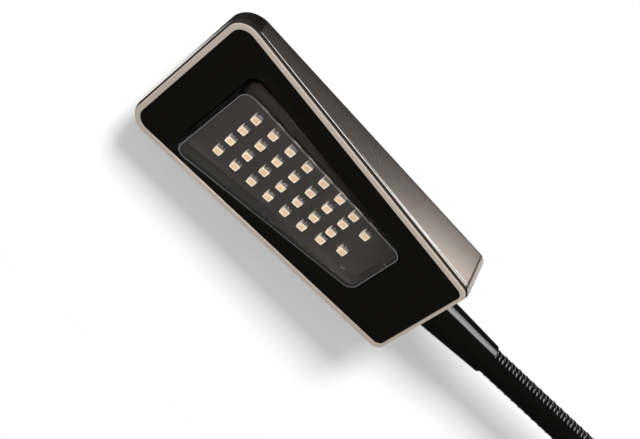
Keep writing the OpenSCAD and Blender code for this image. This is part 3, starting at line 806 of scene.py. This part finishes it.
# %% Fine surface
fine_surface, take, give = new_group(
    "fine surface",
    [("Colour", "Color", (0.5, 0.5, 0.5, 1)), ("Colour change", "Float", 0.05),
     ("Roughness", "Float", 0.4), ("Roughness change", "Float", 0.05),
     ("Grain", "Float", 3000.0), ("Drawn out", "Vector", (1, 1, 1))],
    [("Colour", "Color"), ("Roughness", "Float"), ("Height", "Float")],
)
t = fine_surface
where = add(t, "TexCoord").outputs["Object"]
stretched = add(t, "Mapping", {"Vector": where, "Scale": take["Drawn out"]})
grain = add(t, "TexNoise", {"Vector": stretched.outputs[0], "Scale": take["Grain"],
                            "Detail": 3.0})
drift_scale, drift_share = 55.0, 0.4
drift = add(t, "TexNoise", {"Vector": where, "Scale": drift_scale, "Detail": 2.0})
both = add(t, "Mix", {0: drift_share, 2: grain.outputs[0], 3: drift.outputs[0]}).outputs[0]
lighter = centred(t, both, take["Colour change"])
shade = add(t, "Math", {0: 1.0, 1: lighter}, operation="ADD")
tinted = add(t, "VectorMath", {0: take["Colour"], "Scale": shade.outputs[0]}, operation="SCALE")
rougher = centred(t, both, take["Roughness change"])
shine = add(t, "Math", {0: take["Roughness"], 1: rougher}, operation="ADD", use_clamp=True)
t.links.new(tinted.outputs[0], give["Colour"])
t.links.new(shine.outputs[0], give["Roughness"])
t.links.new(grain.outputs[0], give["Height"])
print("fine surface:", len(t.nodes), "nodes")

# %% [markdown]
# ## The materials
#
# Every material is the same short chain of nodes. The fine surface group gives the colour, the
# shine and the height of the grain, and a bump node turns that height into a slight tilt of
# the surface. Whatever else a finish fixes, such as how clear it is, goes to the shader itself.

# %% Materials
def finish(name, colour, roughness, grain_mm, depth_um, metal=0.0, drawn=(1, 1, 1),
           colour_change=0.05, roughness_change=0.05, **fixed):
    """A material whose colour, shine and grain come from the fine surface group."""
    material = bpy.data.materials.new(name)
    material.use_nodes = True
    tree = material.node_tree
    shader = tree.nodes["Principled BSDF"]
    surface = add(tree, "Group", node_tree=fine_surface)
    for label, value in {"Colour": (*colour, 1), "Colour change": colour_change,
                         "Roughness": roughness, "Roughness change": roughness_change,
                         "Grain": 1 / (grain_mm * mm), "Drawn out": drawn}.items():
        surface.inputs[label].default_value = value
    depth = depth_um * mm * mm
    bump = add(tree, "Bump", {"Height": surface.outputs["Height"], "Distance": depth,
                              "Strength": 1.0})
    tree.links.new(surface.outputs["Colour"], shader.inputs["Base Color"])
    tree.links.new(surface.outputs["Roughness"], shader.inputs["Roughness"])
    tree.links.new(bump.outputs["Normal"], shader.inputs["Normal"])
    shader.inputs["Metallic"].default_value = metal
    for label, value in fixed.items():
        shader.inputs[label.replace("_", " ")].default_value = value
    return material


# %% [markdown]
# ## The table of finishes
#
# Each line of the table is one finish, with its colour, its roughness, the size of its grain
# and the grain's depth in thousandths of a millimetre. Most are finishes of the real lamp, but
# the bezel's gap shade is a painted shade, and the lens's ground edge is partly a painted
# highlight. The nickel that shows has a grain far flatter than one thousandth, or its mirror
# image would break into speckles.

# %% Table of finishes
finishes = {
    "satin_nickel": dict(colour=(0.60, 0.525, 0.47), roughness=0.23, grain_mm=1.2, depth_um=0.06,
                         metal=1.0, drawn=(1, 1, 0.15), roughness_change=0.012),
    "polished_nickel": dict(colour=(0.85, 0.83, 0.79), roughness=0.16, grain_mm=0.6,
                            depth_um=0.1, metal=1.0, roughness_change=0.01),
    "champagne_rim": dict(colour=(0.60, 0.515, 0.44), roughness=0.42, grain_mm=0.8, depth_um=0.3,
                          metal=0.5, roughness_change=0.02),
    # A painted shade, near black, on the bezel's chamfer and sides for the gap round the ring.
    "rim_edge": dict(colour=(0.03, 0.027, 0.024), roughness=0.45, grain_mm=0.3, depth_um=0.3,
                     Specular_IOR_Level=0.25),
    "black_paint": dict(colour=(0.012, 0.012, 0.012), roughness=0.6, grain_mm=0.3, depth_um=3.0),
    "gloss_black": dict(colour=(0.0032, 0.003, 0.0026), roughness=0.09, grain_mm=1.5,
                        depth_um=0.4, roughness_change=0.02),
    "clear_lens": dict(colour=(0.97, 0.98, 0.98), roughness=0.0, grain_mm=4.0, depth_um=0.2,
                       roughness_change=0.0, colour_change=0.0, Transmission_Weight=1.0, IOR=1.49),
    "hazy_face": dict(colour=(0.97, 0.94, 0.91), roughness=0.0, grain_mm=4.0, depth_um=0.2,
                      roughness_change=0.0, colour_change=0.0, Transmission_Weight=0.982, IOR=1.49),
    # A rougher ground edge, partly a painted highlight: its grey colour draws the bright line round
    # the lens face.
    "ground_edge": dict(colour=(0.19, 0.19, 0.185), roughness=0.4, grain_mm=0.5, depth_um=0.2,
                        Transmission_Weight=0.4, IOR=1.49),
    "zinc_steel": dict(colour=(0.62, 0.63, 0.64), roughness=0.34, grain_mm=0.4, depth_um=2.0,
                       metal=1.0, colour_change=0.1, roughness_change=0.1),
    "board_dark": dict(colour=(0.0075, 0.0052, 0.0044), roughness=0.45, grain_mm=0.25,
                       depth_um=0.6),
    "led_cream": dict(colour=(0.74, 0.66, 0.54), roughness=0.4, grain_mm=0.3, depth_um=1.0),
    "led_phosphor": dict(colour=(0.54, 0.37, 0.22), roughness=0.5, grain_mm=0.12, depth_um=1.0,
                         colour_change=0.08),
    "tinned_copper": dict(colour=(0.78, 0.77, 0.74), roughness=0.25, grain_mm=0.3, depth_um=2.0,
                          metal=1.0),
    "pad_grey": dict(colour=(0.42, 0.45, 0.50), roughness=0.8, grain_mm=0.4, depth_um=10.0),
    # Black on every side; the back gets an aluminium colour further down.
    "bare_aluminium": dict(colour=(0.012, 0.012, 0.012), roughness=0.38, grain_mm=0.3,
                           depth_um=2.0, metal=1.0, drawn=(1, 1, 0.08)),
    "black_lacquer": dict(colour=(0.002, 0.002, 0.0018), roughness=0.12, grain_mm=1.2,
                          depth_um=0.5, Specular_IOR_Level=0.8),
    "brass": dict(colour=(0.78, 0.57, 0.25), roughness=0.26, grain_mm=0.3, depth_um=1.5, metal=1.0),
    "lead_sheath": dict(colour=(0.02, 0.02, 0.022), roughness=0.55, grain_mm=0.3, depth_um=6.0),
    "black_rubber": dict(colour=(0.018, 0.018, 0.018), roughness=0.7, grain_mm=0.25, depth_um=10.0),
    "board_green": dict(colour=(0.02, 0.12, 0.05), roughness=0.35, grain_mm=0.5, depth_um=3.0,
                        colour_change=0.15),
    "component_black": dict(colour=(0.02, 0.02, 0.022), roughness=0.5, grain_mm=0.2, depth_um=6.0),
    "terminal_green": dict(colour=(0.02, 0.20, 0.08), roughness=0.4, grain_mm=0.4, depth_um=4.0),
    "nickel_ring": dict(colour=(0.62, 0.59, 0.56), roughness=0.2, grain_mm=0.15, depth_um=0.6,
                        metal=1.0),
    "button_black": dict(colour=(0.012, 0.012, 0.012), roughness=0.3, grain_mm=0.15, depth_um=2.0),
    "wire_insulation": dict(colour=(0.03, 0.006, 0.005), roughness=0.4, grain_mm=0.4, depth_um=4.0),
}
looks = {name: finish(name, **values) for name, values in finishes.items()}
print("finishes:", len(looks))

# %% [markdown]
# ## Finishes that need more
#
# The lens is glass, and glass in a renderer throws a full shadow, though clear plastic throws
# almost none: rays that ask for the light are let through it. The LED packages carry a painted
# shade on their +X side, which is darker than their top; the heat spreader is black on every
# side but its back, which keeps the aluminium colour where it touches the housing; and the two
# wires of one lead have two colours. All of those change their colour past a limit, along the
# normal or along the place.

# %% Finishes that need more
let_through = 0.92
for name in ("clear_lens", "hazy_face"):
    glass = looks[name].node_tree
    asks_for_light = add(glass, "LightPath").outputs["Is Shadow Ray"]
    through = add(glass, "Math", {0: asks_for_light, 1: let_through}, operation="MULTIPLY")
    solid = add(glass, "Math", {0: 1.0, 1: through.outputs[0]}, operation="SUBTRACT")
    glass.links.new(solid.outputs[0], glass.nodes["Principled BSDF"].inputs["Alpha"])


def colour_past_limit(name, source, axis, edge, other):
    """Where the normal or the place on the piece goes past an edge, the colour is another one."""
    tree = looks[name].node_tree
    at = add(tree, "SeparateXYZ", {0: add(tree, "TexCoord").outputs[source]}).outputs[axis]
    past = add(tree, "Math", {0: at, 1: edge}, operation="GREATER_THAN").outputs[0]
    shader = tree.nodes["Principled BSDF"]
    plain = shader.inputs["Base Color"].links[0].from_socket
    mixed = add(tree, "Mix", data_type="RGBA")
    tree.links.new(past, mixed.inputs[0])
    tree.links.new(plain, mixed.inputs[6])
    mixed.inputs[7].default_value = (*other, 1)
    tree.links.new(mixed.outputs[2], shader.inputs["Base Color"])


two_tones_and_side_shade = {
    # Painted shade: the +X side of each LED package is darker than its top.
    "led_cream": ("Normal", "X", 0.5, (0.07, 0.065, 0.06)),
    # Black on every side but the back, which gets the aluminium colour.
    "bare_aluminium": ("Normal", "Y", 0.5, (0.78, 0.78, 0.79)),
    "wire_insulation": ("Object", "X", 0.0, (0.012, 0.012, 0.012)),
}
for name, values in two_tones_and_side_shade.items():
    colour_past_limit(name, *values)
print("two colours each:", ", ".join(two_tones_and_side_shade))

# %% [markdown]
# ## Dressing the pieces
#
# The record names one finish for each part. A few pieces have more than one: the housing is
# satin outside, polished on its edge and black inside, and the bezel's chamfer and sides, where
# it dips into the housing, carry a near-black painted shade for the gap. The lens has clear
# sides, a slightly hazy face that turns the black board behind it grey, and a narrow grey band
# round the face, partly a rougher ground edge and partly a painted highlight that draws its
# bright outline. Those faces were put into further slots when the pieces were made. The slots
# are filled in place, because clearing them would make every face forget its slot.

# %% Every piece gets its finish
for node, cad in frame["nodes"].items():
    cad.data.materials.clear()
    cad.data.materials.append(looks[slot_of[node]])
second_look = {"housing": ["polished_nickel", "black_paint"], "bezel": ["rim_edge"],
               "lens": ["ground_edge", "hazy_face"]}
for piece in bpy.context.scene.objects:
    if "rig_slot" in piece:
        slots = [piece["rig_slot"]] + second_look.get(piece.name, [])
        for i, look in enumerate(slots):
            if i < len(piece.data.materials):
                piece.data.materials[i] = looks[look]
            else:
                piece.data.materials.append(looks[look])
print("pieces with more than one finish:", ", ".join(second_look))

# %% [markdown]
# ## The paper
#
# The photograph shows the head over white paper, with one soft shadow that falls to its left.
# A floor under the base and a sheet of paper close behind the head give the same. A sheet
# that ended with an edge would draw a line across the picture, so each one fades out towards
# its edges and melts into the white surround. It is seen from the front only: from behind, it
# lets the view through.

# %% Paper
def faded(tree, value, start, end):
    """One up to the start, nothing past the end."""
    reach = {"Value": value, "From Min": start, "From Max": end, "To Min": 1.0, "To Max": 0.0}
    return add(tree, "MapRange", reach, interpolation_type="SMOOTHSTEP").outputs[0]


def sheet(name, width, height, place, turn, white, fade):
    """A flat sheet of plain paper that isn't part of the light, with edges that fade out."""
    put_down()
    bpy.ops.mesh.primitive_plane_add(size=1, location=place, rotation=turn)
    made = bpy.context.object
    made.name = name
    made.scale = (width, height, 1)
    bpy.ops.object.transform_apply(location=False, rotation=False, scale=True)
    material = bpy.data.materials.new(name)
    material.use_nodes = True
    tree = material.node_tree
    shader = tree.nodes["Principled BSDF"]
    shader.inputs["Base Color"].default_value = (white, white, white, 1)
    shader.inputs["Roughness"].default_value = 0.9
    shader.inputs["Specular IOR Level"].default_value = 0.1
    across = add(tree, "SeparateXYZ", {0: add(tree, "TexCoord").outputs["Object"]}).outputs
    seen = []
    for axis, size in (("X", width), ("Y", height)):
        off_centre = add(tree, "Math", {0: across[axis]}, operation="ABSOLUTE").outputs[0]
        seen.append(faded(tree, off_centre, size / 2 - fade, size / 2))
    both = add(tree, "Math", {0: seen[0], 1: seen[1]}, operation="MULTIPLY").outputs[0]
    behind = add(tree, "NewGeometry").outputs["Backfacing"]
    front_only = add(tree, "Math", {0: 1.0, 1: behind}, operation="SUBTRACT").outputs[0]
    opacity = add(tree, "Math", {0: both, 1: front_only}, operation="MULTIPLY").outputs[0]
    tree.links.new(opacity, shader.inputs["Alpha"])
    made.data.materials.append(material)
    return made


floor_size, floor_fade = 1.2, 0.35
floor_place = (0, 0, base_low.z - 0.3 * mm)
floor = sheet("floor", floor_size, floor_size, floor_place, (0, 0, 0), 0.93, floor_fade)
floor.visible_glossy = False
card_right, card_left, card_low, card_high, card_y, card_fade = (
    v * mm for v in (9, -185, 230, 570, 14, 40)
)
card = sheet(
    "card", card_right - card_left, card_high - card_low,
    ((card_right + card_left) / 2, card_y, (card_low + card_high) / 2), (math.pi / 2, 0, 0),
    0.86, card_fade,
)
print("paper:", floor.name, "and", card.name)

# %% [markdown]
# ## The surround
#
# One white room can't give this picture. The camera needs it pure white, matt pieces need it
# at less than half of that, or the shadow would fill up, and the polished and black pieces
# must mirror a nearly dark room, or nothing on the lamp would look black. The world asks what
# kind of ray looks at it, and gives each its own strength. What is mirrored also gets lighter
# from the side to the top.

# %% Surround
surround = bpy.data.worlds.new("surround")
bpy.context.scene.world = surround
surround.use_nodes = True
surround.cycles.sampling_method = "NONE"
sky = surround.node_tree
rays = add(sky, "LightPath").outputs
height = add(sky, "SeparateXYZ", {0: add(sky, "TexCoord").outputs["Generated"]}).outputs["Z"]
mirrored = add(sky, "MapRange", {"Value": height, "From Min": 0.3, "From Max": 0.9,
                                 "To Min": 0.02, "To Max": 0.04}).outputs[0]
strength_on_matt, strength_seen = 0.41, 1.02
on_matt = add(sky, "Mix", {0: rays["Is Diffuse Ray"], 2: mirrored, 3: strength_on_matt})
seen_itself = add(sky, "Mix", {0: rays["Is Camera Ray"], 2: on_matt.outputs[0],
                               3: strength_seen})
sky.nodes["Background"].inputs["Color"].default_value = (1, 1, 1, 1)
sky.links.new(seen_itself.outputs[0], sky.nodes["Background"].inputs["Strength"])
print("surround:", len(sky.nodes), "nodes")

# %% [markdown]
# ## The soft boxes
#
# One box makes the shadow on the paper. It must not show in the lamp's gloss, so mirror rays
# don't see it, nor the two big boxes that lift the whole picture. The others are the reverse:
# they are small and weak, and they are there to be mirrored. The strip box draws the bright
# stripe down the collar, and the side boxes grade the satin wall from dark to light.

# %% Soft boxes
def soft_box(name, place, aim, width, height, power):
    """A soft light that shines one way. The camera doesn't see it, but a shiny piece does."""
    put_down()
    look = (Vector(aim) - Vector(place)).to_track_quat("-Z", "Y")
    bpy.ops.object.light_add(type="AREA", location=place, rotation=look.to_euler())
    lamp = bpy.context.object
    lamp.name = name
    lamp.data.shape, lamp.data.size, lamp.data.size_y = "RECTANGLE", width, height
    lamp.data.energy = power
    lamp.visible_camera = False
    return lamp


head_middle = Vector((0, axis_y, head_z + 60 * mm))
collar_middle = Vector((0, axis_y, head_z - 13 * mm))
key_from = Vector((0.877, -0.457, 0.15))
key = soft_box("shadow box", head_middle + key_from, head_middle, 0.18, 0.18, 17.5)
strip = soft_box("strip box", (0.423, 0.141, 0.235), collar_middle, 0.21, 0.2, 0.66)
soft_box("side box", (0.47, 0.40, 0.06), (0.03, -0.009, 0.40), 0.06, 0.18, 0.183)
soft_box("upper side box", (0.47, 0.40, 0.26), (0.03, -0.009, 0.60), 0.06, 0.22, 0.015)
soft_box("under box", (0.0, 0.33, 0.06), (0.03, -0.01, 0.38), 0.3, 0.16, 0.13)
low_box = soft_box("low box", (0.57, -0.66, 0.22), head_middle, 0.36, 0.36, 0.75)
front_box = soft_box("front box", (0.9, -0.8, 0.9), head_middle, 0.8, 0.8, 2)
top_box = soft_box("top box", (0.3, -0.3, 2.2), (0, 0, 0), 2.0, 2.0, 18)
for lamp in (key, front_box, top_box):
    lamp.visible_glossy = False
print("hidden from mirrors:", ", ".join(lamp.name for lamp in (key, front_box, top_box)))

# %% [markdown]
# ## Lights for some pieces alone
#
# A photographer holds a small card close to one corner to lift just that one. In Blender a
# light can be linked to a collection, and then it lights nothing else. Three lift the housing's
# edges and corner without drawing bright arcs on the coils, and the strip box is kept to the
# neck and its collars, since its far gleam would speckle the satin wall. Three more keep the
# base readable, which stands in the dark half of the room, far below the photograph's frame.

# %% Lights for some pieces alone
head_group = bpy.data.collections.new("head pieces")
head_group.objects.link(housing)
edge_box = soft_box("edge box", strip.location, collar_middle, 0.21, 0.06, 0.105)
corner_glow = soft_box("corner glow", (0.12, -0.14, 0), (0.12, -0.14, 1), 0.4, 0.4, 0.35)
for lamp in (low_box, edge_box, corner_glow):
    lamp.light_linking.receiver_collection = head_group
neck_group = bpy.data.collections.new("neck pieces")
for piece in [base_collar, head_collar] + neck_pieces:
    neck_group.objects.link(piece)
strip.light_linking.receiver_collection = neck_group
base_group = bpy.data.collections.new("base pieces")
for row in frame["record"]["subparts"]:
    if row["node"].startswith(("base_", "cover_", "cable_", "switch_")):
        base_group.objects.link(frame["nodes"][row["node"]])
for piece in (cover, plate, bush, button):
    base_group.objects.link(piece)
for name, place, aim, size, power in (
    ("under glow", (0, 0, -0.3), (0, 0, 0), 3.0, 9),
    ("base front box", (0.2, -1.0, 0.15), (0, 0, 0.05), 0.8, 0.8),
    ("base side box", (1.0, 0.1, 0.15), (0, 0, 0.05), 0.7, 0.8),
):
    lamp = soft_box(name, place, aim, size, size, power)
    lamp.light_linking.receiver_collection = base_group
floor.visible_shadow = False
